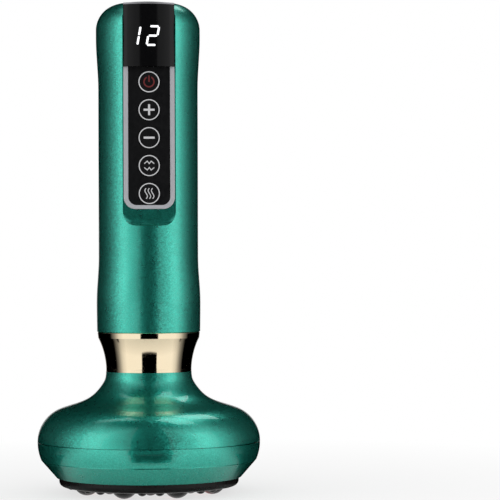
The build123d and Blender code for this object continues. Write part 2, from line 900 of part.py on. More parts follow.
def charge_inlet():
    """Metal shell of the charging inlet with its contact tongue."""
    top = top_z - inlet_sink
    low = top - inlet_length
    outer = RectangleRounded(inlet_width, inlet_depth, inlet_depth / 2 - fit_gap)
    inner = RectangleRounded(
        inlet_width - 2 * inlet_wall, inlet_depth - 2 * inlet_wall, inlet_depth / 2 - inlet_wall - fit_gap
    )
    hollow = Pos(0, 0, 3 * inlet_wall) * extrude(inner, amount=inlet_length)
    shell = extrude(outer, amount=inlet_length) - hollow
    tongue = Box(tongue_width, tongue_thickness, tongue_length, align=BOTTOM)
    return Pos(0, inlet_back, low) * (shell + tongue)


def collar_ring():
    """Gold collar: an upright band at the top over a hollow taper down to the neck."""
    low = bell_top_z + collar_gap
    high = handle_foot_z - collar_gap
    rim = handle_radius + foot_flare - collar_rim_inset
    bend = rim - collar_edge_inset / 2
    waist_z = low + collar_waist_rise
    band_z = high - collar_band
    run = bend - collar_waist_radius
    rise = band_z - waist_z
    chord = sqrt(run**2 + rise**2)
    bow = (bend - run / 2 - collar_sag * rise / chord, band_z - rise / 2 + collar_sag * run / chord)
    bore = neck_outer + slip_gap
    return turned(
        Line((bore, low), (collar_waist_radius, low)),
        Line((collar_waist_radius, low), (collar_waist_radius, waist_z)),
        ThreePointArc((collar_waist_radius, waist_z), bow, (bend, band_z)),
        Line((bend, band_z), (rim, high - collar_edge_inset)),
        Line((rim, high - collar_edge_inset), (rim - collar_edge_inset / 2, high)),
        Line((rim - collar_edge_inset / 2, high), (bore, high)),
        Line((bore, high), (bore, low)),
    )


def neck_tube():
    """Tube through the collar, held in the handle's foot and screwed up into the bell."""
    low = bell_ledge_z - fit_gap - neck_flange
    head_z = handle_foot_z + foot_floor + slip_gap
    top = head_z + neck_flange
    body = tube(neck_outer, neck_bore, low, top)
    foot = tube(neck_outer + neck_foot_reach, neck_bore, low, low + neck_flange)
    head = tube(neck_head_radius, neck_bore, head_z, top)
    return body + foot + head - ring_of(neck_screw_count, neck_screw_bore(low - overrun), 30)


def neck_screw_x():
    """Radius of the circle that the neck screws stand on."""
    return (neck_outer + slip_gap + neck_radius) / 2


def neck_screw_bore(low):
    """Bore for one neck screw, up into the bell's neck."""
    return rod(neck_screw_radius + fit_gap, low, bell_ledge_z + neck_screw_length, neck_screw_x())


def neck_screws():
    """Screws that hold the neck tube to the bell, from below."""
    low = bell_ledge_z - fit_gap - neck_flange
    one = screw(neck_screw_head, small_head_height, neck_screw_radius, neck_screw_length)
    one = Pos(neck_screw_x(), 0, low) * one
    return Compound(children=[s.solids()[0] for s in ring_of(neck_screw_count, one, 30)])


def bell_curves():
    """The bell's outer curves: the round shoulder, then the flare up to the neck."""
    centre = (bell_radius - shoulder_radius, seam_z)
    start = degrees(asin(seam_gap / 2 / shoulder_radius))
    shoulder = CenterArc(centre, shoulder_radius, start, shoulder_turn - start)
    rise = bell_top_z - seam_z
    reach = bell_radius - neck_radius
    points = [shoulder @ 1] + [(neck_radius + reach * r, seam_z + rise * h) for r, h in flare_shares]
    flare = Spline(*points, (neck_radius, bell_top_z), tangents=(shoulder % 1, (0, 1)))
    return shoulder, flare


def bell_form():
    """The bell as one solid, without its hollow."""
    shoulder, flare = bell_curves()
    start = shoulder @ 0
    low = seam_z + seam_gap / 2
    return turned(
        Line((0, low), (start.X, low)),
        shoulder,
        flare,
        Line((neck_radius, bell_top_z), (0, bell_top_z)),
        Line((0, bell_top_z), (0, low)),
    )


def bell_hollow():
    """The bell's hollow, a wall inside its outer curves, up to the ledge in its neck."""
    shoulder, flare = bell_curves()
    centre = (bell_radius - shoulder_radius, seam_z)
    arc = CenterArc(centre, shoulder_radius - bell_wall, 0, shoulder_turn)
    steps = 6
    points = []
    for i in range(1, steps + 1):
        share = bell_wall_end_share * i / steps
        place = flare @ share
        run = flare % share
        points.append((place.X - run.Y * bell_wall, place.Y + run.X * bell_wall))
    inner = Spline(arc @ 1, *points, tangents=(arc % 1, flare % bell_wall_end_share))
    end = inner @ 1
    below = seam_z - overrun
    hollow = turned(
        Line((0, below), (bell_radius - bell_wall, below)),
        Line((bell_radius - bell_wall, below), arc @ 0),
        arc,
        inner,
        Line(end, (0, end.Y)),
        Line((0, end.Y), (0, below)),
    )
    return hollow & rod(bell_radius, below, bell_ledge_z)


def bell_housing():
    """Green upper housing of the head, with a ledge for the neck tube and four screw bosses."""
    form = bell_form()
    bell = form - bell_hollow() - rod(neck_outer + slip_gap, seam_z, bell_top_z + overrun)
    boss_top = seam_z + bell_height / 2
    boss = rod(boss_radius, web_top_z + fit_gap, boss_top, boss_circle)
    low = rod(boss_radius, web_top_z + fit_gap, seam_z + seam_gap / 2, boss_circle)
    bosses = ring_of(boss_count, (boss & form) + low, 45)
    bore_top = web_z + head_screw_length + head_screw_room
    bore = rod(head_screw_bore, web_top_z - overrun, bore_top, boss_circle)
    bores = ring_of(boss_count, bore, 45)
    neck_bores = ring_of(neck_screw_count, neck_screw_bore(bell_ledge_z - overrun), 30)
    return bell + bosses - bores - neck_bores


def lower_ring():
    """Green lower ring: its rounded girth, cone, inner web and the lip that enters the bell."""
    high = seam_z - seam_gap / 2
    crease = (bell_radius - crease_inset, crease_z)
    girth_bow = (bell_radius - crease_inset / 4, (high + crease_z) / 2)
    foot_radius = pad_radius + pad_gap
    lip_outer = bell_radius - bell_wall - ring_lip_gap
    lip_inner = lip_outer - ring_lip_wall
    hole = liner_radius + loose_gap
    cone_share = (web_top_z - ring_foot_z) / cone_height
    cone_foot = foot_radius + cone_foot_land
    inner_foot = (cone_foot + cone_share * (crease[0] - cone_foot) - ring_wall, web_top_z)
    groove = crease[0] - crease_groove_depth
    groove_share = crease_groove_height / cone_height
    cone_top = (crease[0] - groove_share * (crease[0] - cone_foot), crease_z - crease_groove_height)
    return turned(
        Line((foot_radius, ring_foot_z), (cone_foot, ring_foot_z)),
        Line((cone_foot, ring_foot_z), cone_top),
        Line(cone_top, (groove, cone_top[1])),
        Line((groove, cone_top[1]), (groove, crease_z)),
        Line((groove, crease_z), crease),
        ThreePointArc(crease, girth_bow, (bell_radius, high)),
        Line((bell_radius, high), (lip_outer, high)),
        Line((lip_outer, high), (lip_outer, high + ring_lip_height)),
        Line((lip_outer, high + ring_lip_height), (lip_inner, high + ring_lip_height)),
        Line((lip_inner, high + ring_lip_height), (lip_inner, crease_z)),
        Line((lip_inner, crease_z), inner_foot),
        Line(inner_foot, (hole, web_top_z)),
        Line((hole, web_top_z), (hole, web_z)),
        Line((hole, web_z), (foot_radius, web_z)),
        Line((foot_radius, web_z), (foot_radius, ring_foot_z)),
    ) - ring_of(boss_count, rod(head_screw_hole, web_z - overrun, web_top_z + overrun, boss_circle), 45)


def head_screws():
    """Screws up through the web into the bell's bosses, hidden by the pad."""
    one = screw(head_screw_head, head_screw_head_height, head_screw_radius, head_screw_length)
    one = Pos(boss_circle, 0, web_z) * one
    return Compound(children=[s.solids()[0] for s in ring_of(boss_count, one, 45)])


def dome(radius, height):
    """Low round dome whose tip is at z = -height and whose seat is at the moat's floor."""
    ball = (radius**2 + height**2) / (2 * height)
    round_part = Pos(0, 0, ball - height) * Sphere(ball)
    return round_part & rod(radius, -2 * height, moat_depth)


def dome_places():
    """Every dome on the pad, as (radius, height, circle, turn)."""
    step = 360 / dome_ring_count
    places = []
    for i in range(dome_ring_count):
        turn = step * i
        places.append((large_dome_radius, large_dome_height, large_dome_circle, turn + step / 2))
        places.append((medium_dome_radius, medium_dome_height, medium_dome_circle, turn))
        for side in (-small_dome_spread, small_dome_spread):
            places.append((small_dome_radius, small_dome_height, small_dome_circle, turn + side))
    return places


def massage_pad():
    """Smoky pad: a ring with a rounded lip, a rim behind it, and three sizes of dome."""
    rim_top = web_z - fit_gap
    rim_inner = pad_radius - pad_rim_wall
    lip = (pad_radius - pad_lip_round, pad_face_z + pad_lip_round)
    mouth = (cup_bore + mouth_round, pad_face_z + mouth_round)
    pad = turned(
        Line((pad_radius, rim_top), (pad_radius, lip[1])),
        CenterArc(lip, pad_lip_round, 0, -90),
        Line((lip[0], pad_face_z), (mouth[0], pad_face_z)),
        CenterArc(mouth, mouth_round, 180, 90),
        Line((cup_bore, mouth[1]), (cup_bore, pad_back_z)),
        Line((cup_bore, pad_back_z), (rim_inner, pad_back_z)),
        Line((rim_inner, pad_back_z), (rim_inner, rim_top)),
        Line((rim_inner, rim_top), (pad_radius, rim_top)),
    )
    groove = pad_radius - pad_groove_inset
    half = pad_groove_width / 2
    cuts = [tube(groove + half, groove - half, 0, pad_face_z + pad_groove_depth)]
    domes = []
    for radius, height, circle, turn in dome_places():
        cuts.append(spin(rod(radius + moat_width, 0, pad_face_z + moat_depth, circle), turn))
        domes.append(spin(Pos(circle, 0, pad_face_z) * dome(radius, height), turn))
    return pad - cuts + domes


def cup_gasket():
    """Soft ring between the pad and the cup liner."""
    return tube(liner_radius - fit_gap, cup_bore + fit_gap, pad_back_z, pad_back_z + gasket_thickness)


def cup_liner():
    """Wall and roof of the suction chamber, with a flange, a hose nozzle and a valve seat."""
    low = pad_back_z + gasket_thickness
    outer = rod(liner_radius, low, liner_top_z)
    flange = rod(liner_radius + liner_flange, web_top_z, web_top_z + liner_flange_thickness)
    step_z = grille_z + grille_thickness
    hollow = rod(cup_bore, low - overrun, step_z) + rod(cup_bore - liner_step, step_z, liner_roof_z)
    nozzle = rod(nozzle_radius, liner_roof_z, liner_top_z + nozzle_length, nozzle_x)
    nozzle_hole = rod(nozzle_bore, liner_roof_z - overrun, liner_top_z + 2 * nozzle_length, nozzle_x)
    seat = rod(valve_seat_radius, liner_roof_z, liner_top_z + valve_seat_height, valve_x)
    port = rod(valve_port_radius, liner_roof_z - overrun, liner_top_z + overrun, valve_x)
    screw_hole = rod(small_screw_bore, web_top_z - overrun, liner_top_z, liner_screw_circle)
    liner = outer + flange - hollow + nozzle + seat - nozzle_hole - port
    return liner - ring_of(neck_screw_count, screw_hole, 90)


def liner_screws():
    """Screws that hold the liner's flange to the web."""
    one = screw(small_head_radius, small_head_height, small_screw_radius, liner_flange_thickness)
    one = Pos(liner_screw_circle, 0, web_top_z + liner_flange_thickness) * Rot(180, 0, 0) * one
    return Compound(children=[s.solids()[0] for s in ring_of(neck_screw_count, one, 90)])


def filter_sponge():
    """Foam disc that keeps oil and dust out of the pump."""
    disc = rod(cup_bore - slip_gap, filter_z, grille_z)
    return fillet(disc.edges().group_by(Axis.Z)[0], edge_round)


def filter_grille():
    """Holed disc that backs the foam, seated under the liner's step."""
    disc = rod(cup_bore - slip_gap, grille_z, grille_z + grille_thickness)
    holes = [rod(grille_hole_radius, grille_z - overrun, grille_z + overrun)]
    for share, count in zip(grille_circle_shares, grille_hole_counts):
        hole = rod(grille_hole_radius, grille_z - overrun, grille_z + overrun, share * cup_bore)
        holes += ring_of(count, hole)
    return disc - holes


def led_board():
    """Ring board under the web, which carries the red lights."""
    return tube(led_board_outer, led_board_inner, web_z - led_board_thickness, web_z)


def red_lights():
    """Eight red lights that shine through the pad."""
    top = web_z - led_board_thickness
    round_z = top - led_length + led_radius
    body = rod(led_radius, round_z, top, led_circle)
    below = rod(led_radius, top - led_length, round_z, led_circle)
    body = body + (Pos(led_circle, 0, round_z) * Sphere(led_radius) & below)
    start = 180 / dome_ring_count + led_turn
    return Compound(children=[s.solids()[0] for s in ring_of(dome_ring_count, body, start)])


def heating_film():
    """Thin heater on the back of the pad."""
    outer = pad_radius - pad_rim_wall - loose_gap
    return tube(outer, heater_inner_radius, pad_back_z, pad_back_z + heater_thickness)


def suction_hose():
    """Short straight hose from the chamber's nozzle to the pump's."""
    bore = nozzle_radius + hose_gap
    return tube(bore + hose_wall, bore, liner_top_z + loose_gap, pump_foot_z - loose_gap, nozzle_x)


def valve_body():
    """Base of the air release valve, round its seat."""
    half = valve_width / 2
    base = block(-half, half, -valve_depth / 2, valve_depth / 2, liner_top_z, liner_top_z + valve_base)
    cavity = rod(plunger_radius + loose_gap, liner_top_z - overrun, liner_top_z + overrun)
    vent_top = liner_top_z + valve_base / 2
    vent = block(0, valve_width, -valve_port_radius, valve_port_radius, liner_top_z - overrun, vent_top)
    return Pos(valve_x, 0, 0) * (base - cavity - vent)


def valve_frame_z():
    """Foot of the valve's steel frame."""
    return liner_top_z + valve_base


def valve_frame():
    """Steel frame round the coil, with a hole for the plunger."""
    low = valve_frame_z()
    high = low + valve_frame_height
    half = valve_width / 2
    depth = valve_depth / 2
    frame = block(-half, half, -depth, depth, low, high)
    inside = block(
        -half + valve_frame_wall, half - valve_frame_wall, -depth - overrun, depth + overrun,
        low + valve_frame_wall, high - valve_frame_wall,
    )
    hole = rod(plunger_radius + loose_gap, low - overrun, low + overrun)
    return Pos(valve_x, 0, 0) * (frame - inside - hole)


def valve_coil():
    """Wound coil inside the frame."""
    low = valve_frame_z() + valve_frame_wall
    high = low + valve_frame_height - 2 * valve_frame_wall
    half = valve_width / 2 - valve_frame_wall
    coil = rod(coil_radius, low, high)
    cheeks = block(-half, half, -half, half, low, low + coil_cheek)
    cheeks = cheeks + block(-half, half, -half, half, high - coil_cheek, high)
    hole = rod(plunger_radius + loose_gap, low - overrun, high + overrun)
    return Pos(valve_x, 0, 0) * (coil + cheeks - hole)


def plunger_z():
    """Foot of the closed plunger."""
    return liner_top_z + valve_seat_height + fit_gap


def valve_plunger():
    """Steel plunger whose soft foot closes the seat."""
    body = rod(plunger_radius, plunger_z(), plunger_z() + plunger_length, valve_x)
    return fillet(body.edges(), fine_round)


def valve_spring():
    """Return spring above the plunger, as a plain sleeve."""
    low = plunger_z() + plunger_length
    high = valve_frame_z() + valve_frame_height - valve_frame_wall
    return tube(spring_radius, spring_radius - spring_wall, low, high, valve_x)


def pump_head():
    """Foot of the pump, with its inlet nozzle and an outlet."""
    head = rod(pump_radius, pump_foot_z, valve_plate_z)
    head = fillet(head.edges().group_by(Axis.Z)[0], edge_round)
    hollow = rod(pump_radius - 2 * crankcase_wall, pump_foot_z + crankcase_wall, valve_plate_z + overrun)
    nozzle = rod(nozzle_radius, pump_foot_z - nozzle_length, pump_foot_z + crankcase_wall, nozzle_x)
    bore = rod(nozzle_bore, pump_foot_z - 2 * nozzle_length, pump_foot_z + overrun, nozzle_x)
    outlet = rod(nozzle_bore, pump_foot_z - overrun, pump_foot_z + overrun, -nozzle_x)
    return head - hollow + nozzle - bore - outlet


def pump_valve_plate():
    """Plate between the pump's head and its diaphragm, with a port for each cup."""
    plate = rod(pump_radius, valve_plate_z, diaphragm_z)
    port = rod(nozzle_bore, valve_plate_z - overrun, diaphragm_z + overrun, cup_circle)
    return plate - ring_of(cup_count, port, 90)


def pump_diaphragm():
    """Rubber sheet with three cups, each with a stem towards the wobble plate."""
    sheet = rod(pump_radius, diaphragm_z, crankcase_z)
    cup_top = crankcase_z + cup_height
    cup = rod(cup_radius, crankcase_z, cup_top, cup_circle)
    cup = chamfer(cup.edges().group_by(Axis.Z)[-1], cup_height / 5)
    hollow = rod(cup_radius - diaphragm_sheet, diaphragm_z - overrun, cup_top - diaphragm_sheet, cup_circle)
    stem = rod(cup_stem_radius, cup_top - diaphragm_sheet / 2, cup_top + cup_stem_height, cup_circle)
    cups = [c for c in ring_of(cup_count, cup, 90)]
    stems = [s for s in ring_of(cup_count, stem, 90)]
    return sheet + cups + stems - ring_of(cup_count, hollow, 90)


def pump_crankcase():
    """Cylinder round the wobble plate, open at three windows, under the motor's face."""
    inner = pump_radius - crankcase_wall
    case = rod(pump_radius, crankcase_z, motor_z)
    case = case - rod(inner, crankcase_z - overrun, motor_z - crankcase_roof)
    window = block(
        0, 2 * pump_radius, -pump_radius / 4, pump_radius / 4,
        crankcase_z + crankcase_wall, motor_z - 2 * crankcase_roof,
    )
    case = case - ring_of(cup_count, window, 30)
    screw_hole = rod(small_screw_bore, motor_z - overrun, motor_z + overrun, pump_screw_circle / 2)
    hole = rod(bush_radius + loose_gap, motor_z - overrun, motor_z + overrun)
    return case - hole - ring_of(2, screw_hole, 0)


def pump_sleeve():
    """Soft sleeve that holds the pump in the neck tube and takes up its shake."""
    low = pump_foot_z + fit_gap
    high = handle_foot_z + foot_floor
    return tube(neck_bore - sleeve_gap, pump_radius + sleeve_gap, low, high)


def tilted(shape):
    """A shape drawn about the upright axis, leaned over about the wobble plate's centre."""
    return Pos(0, 0, wobble_z) * Rot(0, wobble_tilt, 0) * shape


def wobble_plate():
    """Three-armed plate that rocks on the crank pin and works the diaphragm's cups."""
    half = wobble_thickness / 2
    reach = cup_circle + cup_stem_radius
    hub = rod(wobble_hub_radius, -half, -half + wobble_hub_height)
    arm = block(0, reach, -wobble_arm_width / 2, wobble_arm_width / 2, -half, half)
    tip = rod(wobble_arm_width / 2, -half, half, reach)
    plate = hub + ring_of(cup_count, arm + tip, 90)
    bore = rod(crank_pin_radius + fit_gap, 0, 2 * wobble_hub_height)
    return tilted(plate - bore)


def crank_z():
    """Foot of the crank disc."""
    return motor_z - crankcase_roof - crank_drop - crank_height


def crank_pin_top():
    """Length of the pin above the wobble plate's centre, measured along its slant."""
    return crank_z() + crank_pin_share * crank_height - wobble_z


def crank_disc():
    """Crank on the motor shaft, with the slanted bore of its pin."""
    disc = rod(crank_radius, crank_z(), crank_z() + crank_height)
    disc = chamfer(disc.edges(), edge_round)
    shaft_bore = rod(shaft_radius, crank_z() + crank_height / 2, motor_z)
    pin_bore = tilted(rod(crank_pin_radius, 0, crank_pin_top()))
    return disc - shaft_bore - pin_bore


def crank_pin():
    """Steel pin, slanted in the crank, that the wobble plate turns on."""
    return tilted(rod(crank_pin_radius, fit_gap, crank_pin_top()))


def motor_can():
    """Steel can of the motor."""
    can = rod(motor_radius, motor_z, motor_top_z)
    can = fillet(can.edges().group_by(Axis.Z)[0], edge_round)
    inner = rod(motor_radius - motor_can_wall, motor_z + motor_can_wall, motor_top_z + overrun)
    hole = rod(bush_radius, motor_z - overrun, motor_z + overrun)
    screw_hole = rod(small_screw_bore, motor_z - overrun, motor_z + overrun, pump_screw_circle / 2)
    return can - inner - hole - ring_of(2, screw_hole, 0)


def motor_end_cap():
    """Moulded end cap of the motor, with a seat for the rear bush."""
    low = motor_top_z - motor_cap_height / 2
    seat = rod(motor_radius - motor_can_wall - fit_gap, low, motor_top_z)
    cap = seat + rod(motor_radius - motor_can_wall, motor_top_z, motor_top_z + motor_cap_height / 2)
    return cap - rod(bush_radius, low - overrun, low + bush_length)


def motor_terminals():
    """Two brass tabs on the end cap."""
    low = motor_top_z + motor_cap_height / 2
    half = terminal_width / 2
    tab = block(0, terminal_thickness, -half, half, low, low + terminal_height)
    tab = Pos(terminal_circle, 0, 0) * tab
    return Compound(children=[s.solids()[0] for s in ring_of(2, tab, 90)])


def motor_bushes():
    """Bronze bushes at both ends of the shaft."""
    rear_z = motor_top_z - motor_cap_height / 2
    bore = shaft_radius + fit_gap
    front = tube(bush_radius, bore, motor_z, motor_z + bush_length)
    rear = tube(bush_radius, bore, rear_z, rear_z + bush_length)
    return Compound(children=[front.solids()[0], rear.solids()[0]])


def motor_magnets():
    """Two arc magnets inside the can."""
    outer = motor_radius - motor_can_wall - fit_gap
    low = motor_z + motor_can_wall + bush_length
    arcs = tube(outer, outer - magnet_thickness, low, low + magnet_length)
    gap = block(-motor_radius, motor_radius, -core_radius / 2, core_radius / 2, low - overrun, motor_top_z)
    arcs = arcs - gap
    return Compound(children=arcs.solids())


def motor_armature():
    """Shaft with its slotted core and commutator, which turns in the bushes."""
    shaft = rod(shaft_radius, crank_z() + crank_height / 2, motor_top_z)
    core_z = motor_z + motor_can_wall + bush_length + (magnet_length - core_length) / 2
    core = rod(core_radius, core_z, core_z + core_length)
    slot = block(
        core_radius - core_slot_depth, 2 * core_radius, -core_slot_width / 2, core_slot_width / 2,
        core_z - overrun, core_z + core_length + overrun,
    )
    core = core - ring_of(core_slots, slot)
    gap_z = core_z + core_length + (motor_top_z - motor_cap_height / 2 - core_z - core_length) / 4
    commutator = rod(commutator_radius, gap_z, gap_z + commutator_length)
    return shaft + core + commutator


def make_nodes():
    """Build every piece under its own name."""
    nodes["handle_front_shell"] = handle_front_shell()
    nodes["handle_rear_shell"] = handle_rear_shell()
    nodes["panel_bezel"] = panel_bezel()
    nodes["key_plate"] = key_plate()
    nodes["display_lens"] = display_lens()
    nodes["display_digits"] = display_digits()
    nodes["display_module"] = display_module()
    marks = {
        "power": power_mark(),
        "plus": bar_mark(True),
        "minus": bar_mark(False),
        "mode": zigzag_mark(),
        "heat": warmth_mark(),
    }
    for (name, mark), z in zip(marks.items(), key_zs):
        nodes[name + "_key"] = key_cap(z)
        nodes[name + "_legend"] = key_legend(mark, z)
    nodes["control_board"] = control_board()
    nodes["small_screws"] = small_screws()
    nodes["board_chips"] = board_chips()
    nodes["tact_switches"] = tact_switches()
    nodes["battery_cell"] = battery_cell()
    nodes["battery_tray"] = battery_tray()
    nodes["charge_board"] = charge_board()
    nodes["charge_inlet"] = charge_inlet()
    nodes["collar_ring"] = collar_ring()
    nodes["neck_tube"] = neck_tube()
    nodes["neck_screws"] = neck_screws()
    nodes["bell_housing"] = bell_housing()
    nodes["lower_ring"] = lower_ring()
    nodes["head_screws"] = head_screws()
    nodes["massage_pad"] = massage_pad()
    nodes["cup_gasket"] = cup_gasket()
    nodes["cup_liner"] = cup_liner()
    nodes["liner_screws"] = liner_screws()
    nodes["filter_sponge"] = filter_sponge()
    nodes["filter_grille"] = filter_grille()
    nodes["led_board"] = led_board()
    nodes["red_lights"] = red_lights()
    nodes["heating_film"] = heating_film()
    nodes["suction_hose"] = suction_hose()
    nodes["valve_body"] = valve_body()
    nodes["valve_frame"] = valve_frame()
    nodes["valve_coil"] = valve_coil()
    nodes["valve_plunger"] = valve_plunger()
    nodes["valve_spring"] = valve_spring()
    nodes["pump_head"] = pump_head()
    nodes["pump_valve_plate"] = pump_valve_plate()
    nodes["pump_diaphragm"] = pump_diaphragm()
    nodes["pump_crankcase"] = pump_crankcase()
    nodes["pump_sleeve"] = pump_sleeve()
    nodes["wobble_plate"] = wobble_plate()
    nodes["crank_disc"] = crank_disc()
    nodes["crank_pin"] = crank_pin()
    nodes["motor_can"] = motor_can()
    nodes["motor_end_cap"] = motor_end_cap()
    nodes["motor_terminals"] = motor_terminals()
    nodes["motor_bushes"] = motor_bushes()
    nodes["motor_magnets"] = motor_magnets()
    nodes["motor_armature"] = motor_armature()


make_nodes()
os.makedirs("parts", exist_ok=True)
for name, shape in nodes.items():
    export_step(shape, f"parts/{name}.step")
print(len(nodes), "nodes")
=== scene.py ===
import json
from math import atan, cos, pi, radians, sin

import bmesh
import bpy
from mathutils import Matrix, Vector


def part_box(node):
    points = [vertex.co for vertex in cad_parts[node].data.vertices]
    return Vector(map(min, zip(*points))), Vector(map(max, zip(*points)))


# Looks, light and camera for the cupping massager. Lengths are in metres.
MM = 0.001
BLACK, WHITE = (0.0, 0.0, 0.0), (1.0, 1.0, 1.0)

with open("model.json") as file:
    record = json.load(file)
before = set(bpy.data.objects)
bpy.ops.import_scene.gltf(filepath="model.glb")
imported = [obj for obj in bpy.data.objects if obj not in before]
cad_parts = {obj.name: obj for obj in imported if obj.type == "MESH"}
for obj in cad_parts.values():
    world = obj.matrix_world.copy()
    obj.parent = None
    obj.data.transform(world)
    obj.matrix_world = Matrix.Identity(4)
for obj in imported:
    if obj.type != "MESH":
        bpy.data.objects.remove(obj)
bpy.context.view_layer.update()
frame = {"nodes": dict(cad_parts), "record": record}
nodes = frame["nodes"]
scene = bpy.context.scene

# The middle run of a noise's values, which Roughness follows.
NOISE_RANGE = (0.3, 0.7)


# ---------------------------------------------------------------- node helpers
class Look:
    """A material under construction: its tree, its shader and short calls for the nodes used here."""

    def __init__(self, name, color, roughness, **sockets):
        self.name = name
        self.material = bpy.data.materials.new(name)
        self.material.use_nodes = True
        self.tree = self.material.node_tree
        self.shader = self.tree.nodes["Principled BSDF"]
        self.shader.inputs["Base Color"].default_value = (*color, 1)
        self.shader.inputs["Roughness"].default_value = roughness
        for socket, value in sockets.items():
            self.shader.inputs[socket.replace("_", " ")].default_value = value

    def node(self, kind, **values):
        """Adds a node; values are its own settings."""
        made = self.tree.nodes.new(kind)
        for key, value in values.items():
            setattr(made, key, value)
        return made

    def link(self, source, target):
        self.tree.links.new(source, target)

    def fill(self, socket, value):
        """Puts a number, a tuple or another node's output on a socket."""
        if isinstance(value, (int, float, tuple)):
            socket.default_value = value
        else:
            self.link(value, socket)

    def set(self, socket, value):
        """Fills a socket of the material's shader."""
        self.fill(self.shader.inputs[socket], value)

    def math(self, operation, a, b=0.0):
        """A number worked out from two others, or from the first where the operation takes one."""
        made = self.node("ShaderNodeMath", operation=operation)
        self.fill(made.inputs[0], a)
        self.fill(made.inputs[1], b)
        return made.outputs[0]

    def hypotenuse(self, a, b):
        """Length of a vector whose two parts are at right angles."""
        squares = self.math("ADD", self.math("MULTIPLY", a, a), self.math("MULTIPLY", b, b))
        return self.math("SQRT", squares)

    def vector(self, operation, a, b=(0.0, 0.0, 0.0), scale=1.0):
        """The same for vectors; LENGTH gives a number, and SCALE takes its factor in place of b."""
        made = self.node("ShaderNodeVectorMath", operation=operation)
        self.fill(made.inputs[0], a)
        if operation == "SCALE":
            self.fill(made.inputs["Scale"], scale)
        else:
            self.fill(made.inputs[1], b)
        return made.outputs["Value" if operation == "LENGTH" else "Vector"]

    def axes(self, value):
        """The x, y and z of a vector."""
        made = self.node("ShaderNodeSeparateXYZ")
        self.link(value, made.inputs[0])
        return tuple(made.outputs)

    def place(self):
        """Where a point is on the part, in metres."""
        return self.node("ShaderNodeTexCoord").outputs["Object"]

    def normal(self):
        """Which way the surface faces."""
        return self.node("ShaderNodeNewGeometry").outputs["Normal"]

    def noise(self, size, detail=2.0, stretch=(1.0, 1.0, 1.0)):
        """Soft noise with features about a size across, longer along an axis whose stretch is small."""
        where = self.vector("MULTIPLY", self.place(), stretch)
        made = self.node("ShaderNodeTexNoise")
        self.link(where, made.inputs["Vector"])
        made.inputs["Scale"].default_value = 1 / size
        made.inputs["Detail"].default_value = detail
        return made.outputs["Fac"]

    def cells(self, size, output="Color"):
        """Random cells about a size across."""
        made = self.node("ShaderNodeTexVoronoi")
        self.link(self.place(), made.inputs["Vector"])
        made.inputs["Scale"].default_value = 1 / size
        return made.outputs[output]

    def spread(self, value, low, high, to_low, to_high):
        """A value mapped from one range to another, held at its ends."""
        made = self.node("ShaderNodeMapRange")
        for socket, given in zip(made.inputs, (value, low, high, to_low, to_high)):
            self.fill(socket, given)
        return made.outputs[0]

    def ramp(self, value, stops):
        """A number that follows another along given stops, with straight runs between them."""
        low, high = stops[0][0], stops[-1][0]
        made = self.node("ShaderNodeValToRGB")
        self.link(self.spread(value, low, high, 0.0, 1.0), made.inputs[0])
        marks = made.color_ramp.elements
        # Where a new mark starts doesn't matter: the loop below moves each to its own place.
        while len(marks) < len(stops):
            marks.new(0.5)
        for mark, (at, level) in zip(marks, stops):
            mark.position = (at - low) / (high - low)
            mark.color = (level, level, level, 1)
        return made.outputs[0]

    def mix(self, share, a, b):
        """Colour a where the share is 0 and colour b where it is 1."""
        made = self.node("ShaderNodeMix", data_type="RGBA")
        self.fill(made.inputs["Factor"], share)
        self.fill(made.inputs["A"], (*a, 1) if isinstance(a, tuple) else a)
        self.fill(made.inputs["B"], (*b, 1) if isinstance(b, tuple) else b)
        return made.outputs["Result"]

    def blend(self, share, a, b):
        """Shader a where the share is 0 and shader b where it is 1."""
        made = self.node("ShaderNodeMixShader")
        for socket, given in zip(made.inputs, (share, a, b)):
            self.fill(socket, given)
        return made.outputs[0]

    def show(self, shader):
        """Makes the material show a shader in place of its own."""
        self.link(shader, self.tree.nodes["Material Output"].inputs["Surface"])

    def rough(self, noise, low, high):
        """Roughness that follows a noise from low to high."""
        self.set("Roughness", self.spread(noise, *NOISE_RANGE, low, high))

    def bump(self, height, depth, strength=1.0):
        """Surface relief of a real depth, in metres."""
        made = self.node("ShaderNodeBump")
        made.inputs["Strength"].default_value = strength
        made.inputs["Distance"].default_value = depth
        self.link(height, made.inputs["Height"])
        return made.outputs["Normal"]


def darker(color, share):
    """A colour with only a share of its light."""
    return tuple(share * c for c in color)


# ---------------------------------------------------------------- materials
# Size and tilt of the lacquer's flakes, the share of its colour that follows soft clouds in place
# of the flakes, and how far its roughness strays to either side.
FLAKE, FLAKE_TILT = 0.32 * MM, 0.13
CLOUD_SHARE = 0.25
LACQUER_WAVER = 0.03


def lacquer(name, base_roughness, coat_roughness):
    """Green metallic lacquer: tilted flakes under a clear coat."""
    deep, bright = (0.018, 0.4, 0.3), (0.045, 0.6, 0.47)
    look = Look(name, bright, base_roughness, Metallic=0.9, Coat_Weight=1.0, Coat_Roughness=coat_roughness)
    flakes = look.cells(FLAKE)
    tilt = look.vector("SCALE", look.vector("SUBTRACT", flakes, (0.5, 0.5, 0.5)), scale=FLAKE_TILT)
    look.set("Normal", look.vector("NORMALIZE", look.vector("ADD", look.normal(), tilt)))
    glint = look.node("ShaderNodeSeparateColor")
    look.link(flakes, glint.inputs[0])
    glints = look.math("MULTIPLY", glint.outputs[0], 1 - CLOUD_SHARE)
    clouds = look.math("MULTIPLY", look.noise(9 * MM), CLOUD_SHARE)
    look.set("Base Color", look.mix(look.math("ADD", glints, clouds), deep, bright))
    look.rough(look.noise(2.5 * MM), base_roughness - LACQUER_WAVER, base_roughness + LACQUER_WAVER)
    return look


